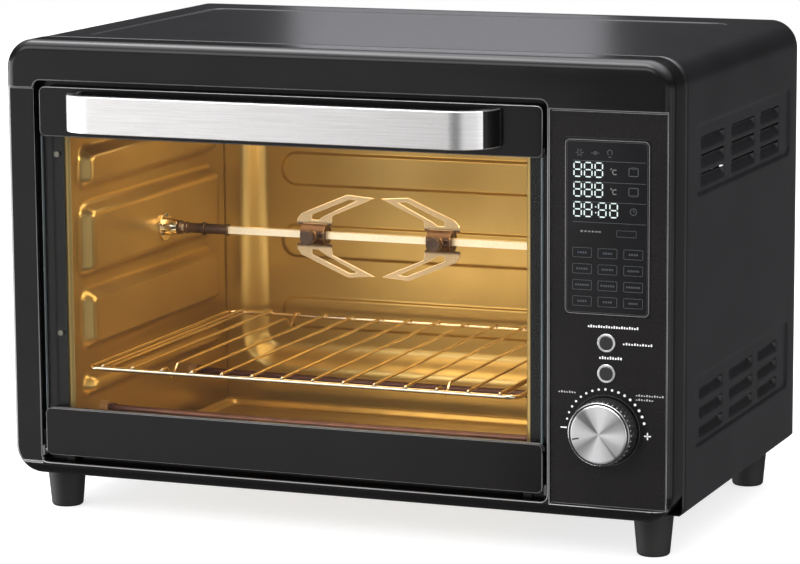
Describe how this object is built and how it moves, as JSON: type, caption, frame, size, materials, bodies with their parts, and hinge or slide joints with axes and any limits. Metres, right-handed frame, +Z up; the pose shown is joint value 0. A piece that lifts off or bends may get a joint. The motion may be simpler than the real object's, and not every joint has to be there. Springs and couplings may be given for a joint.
{
  "type": "oven-style air fryer",
  "caption": "Countertop oven-style air fryer: drop-down glass door, lit golden cavity with rack and rotisserie, display panel with knob and buttons.",
  "frame": {"origin": "middle of the overall box at floor level, under the feet", "axes": "+X to the user's right, +Y to the back, +Z up; the door and panel face -Y"},
  "size_m": [0.58, 0.398, 0.402],
  "materials": {
    "cover_black": "semi-gloss black enamel",
    "frame_black": "gloss black",
    "cavity_gold": "golden non-stick coating, satin",
    "door_glass": "clear toughened glass",
    "trim_black": "gloss black door trim",
    "handle_steel": "brushed along its length",
    "bright_steel": "bright plated steel",
    "zinc_steel": "zinc-plated sheet",
    "heater_tube": "dark oxidised heater sheath",
    "ceramic": "white ceramic, matt",
    "panel_black": "gloss black control panel",
    "display": "smoked display window",
    "board_green": "solder-masked board with parts",
    "knob_black": "satin black moulding",
    "knob_metal": "spun aluminium",
    "foot_black": "matt black",
    "lamp_glass": "clear lamp glass"
  },
  "bodies": {
    "housing": {"cabinet_cover": "cover_black", "base_pan": "zinc_steel", "back_panel": "cover_black", "front_frame": "frame_black", "cavity_front_plate": "cover_black", "cavity_left_wall": "cavity_gold", "cavity_right_wall": "cavity_gold", "cavity_roof": "cavity_gold", "cavity_floor": "cavity_gold", "cavity_back_wall": "cavity_gold", "control_panel": "panel_black", "display_window": "display", "control_board": "board_green", "button_bezels": "bright_steel", "encoder_body": "zinc_steel", "foot_front_left": "foot_black", "foot_front_right": "foot_black", "foot_rear_left": "foot_black", "foot_rear_right": "foot_black", "hinge_bracket_left": "zinc_steel", "hinge_bracket_right": "zinc_steel", "panel_screws": "zinc_steel", "heater_upper_front": "heater_tube", "heater_upper_rear": "heater_tube", "heater_lower_front": "heater_tube", "heater_lower_rear": "heater_tube", "heater_insulators": "ceramic", "spit_bearing": "bright_steel", "bearing_screws": "bright_steel", "rotisserie_motor": "zinc_steel", "fan_guard": "cavity_gold", "fan_housing": "zinc_steel", "fan_motor": "zinc_steel", "lamp_cover": "lamp_glass", "lamp_bulb": "lamp_glass", "lamp_holder": "ceramic", "temperature_probe": "bright_steel", "power_board": "board_green", "cord_gland": "foot_black"},
    "door": {"door_glass": "door_glass", "door_top_rail": "trim_black", "door_bottom_trim": "trim_black", "handle_body": "trim_black", "handle_plate": "handle_steel", "handle_screws": "zinc_steel"},
    "encoder_rotor": {"encoder_rotor": "knob_black"},
    "knob": {"encoder_shaft": "zinc_steel", "knob_body": "knob_black", "knob_cap": "knob_metal"},
    "lamp_button": {"lamp_button": "knob_black"},
    "start_button": {"start_button": "knob_black"},
    "drive_socket": {"drive_socket": "bright_steel"},
    "spit": {"spit_rod": "bright_steel"},
    "left_fork": {"fork_left": "bright_steel", "thumbscrew_left": "bright_steel"},
    "right_fork": {"fork_right": "bright_steel", "thumbscrew_right": "bright_steel"},
    "fan": {"convection_fan": "zinc_steel"},
    "rack": {"wire_rack": "bright_steel"},
    "tray": {"crumb_tray": "cavity_gold"}
  },
  "joints": [
    {"name": "door_hinge", "type": "hinge", "parent": "housing", "child": "door", "pos_m": [0, -0.159, 0.0555], "axis": [1, 0, 0], "range_deg": [0, 90]},
    {"name": "knob_turn", "type": "hinge", "parent": "housing", "child": "encoder_rotor", "pos_m": [0.2352, 0, 0.1078], "axis": [0, 1, 0], "continuous": true},
    {"name": "knob_press", "type": "slide", "parent": "encoder_rotor", "child": "knob", "axis": [0, 1, 0], "range_m": [0, 0.0012], "stiffness_N_per_m": 400, "springref_m": -0.003},
    {"name": "lamp_button_press", "type": "slide", "parent": "housing", "child": "lamp_button", "axis": [0, 1, 0], "range_m": [0, 0.0012], "stiffness_N_per_m": 400, "springref_m": -0.003},
    {"name": "start_button_press", "type": "slide", "parent": "housing", "child": "start_button", "axis": [0, 1, 0], "range_m": [0, 0.0012], "stiffness_N_per_m": 400, "springref_m": -0.003},
    {"name": "spit_turn", "type": "hinge", "parent": "housing", "child": "spit", "pos_m": [0, 0.009, 0.2235], "axis": [1, 0, 0], "continuous": true},
    {"name": "drive_turn", "type": "hinge", "parent": "housing", "child": "drive_socket", "pos_m": [0.145, 0.009, 0.2235], "axis": [1, 0, 0], "continuous": true},
    {"name": "left_fork_slide", "type": "slide", "parent": "spit", "child": "left_fork", "axis": [1, 0, 0], "range_m": [-0.07, 0.003]},
    {"name": "right_fork_slide", "type": "slide", "parent": "spit", "child": "right_fork", "axis": [1, 0, 0], "range_m": [-0.003, 0.08]},
    {"name": "fan_turn", "type": "hinge", "parent": "housing", "child": "fan", "pos_m": [-0.037, 0.009, 0.36], "axis": [0, 0, 1], "continuous": true},
    {"name": "rack_slide", "type": "slide", "parent": "housing", "child": "rack", "axis": [0, -1, 0], "range_m": [-0.01, 0.012]},
    {"name": "tray_slide", "type": "slide", "parent": "housing", "child": "tray", "axis": [0, -1, 0], "range_m": [-0.02, 0.008]}
  ],
  "couplings": [
    {"joint": "drive_turn", "follows": "spit_turn", "ratio": 1}
  ]
}
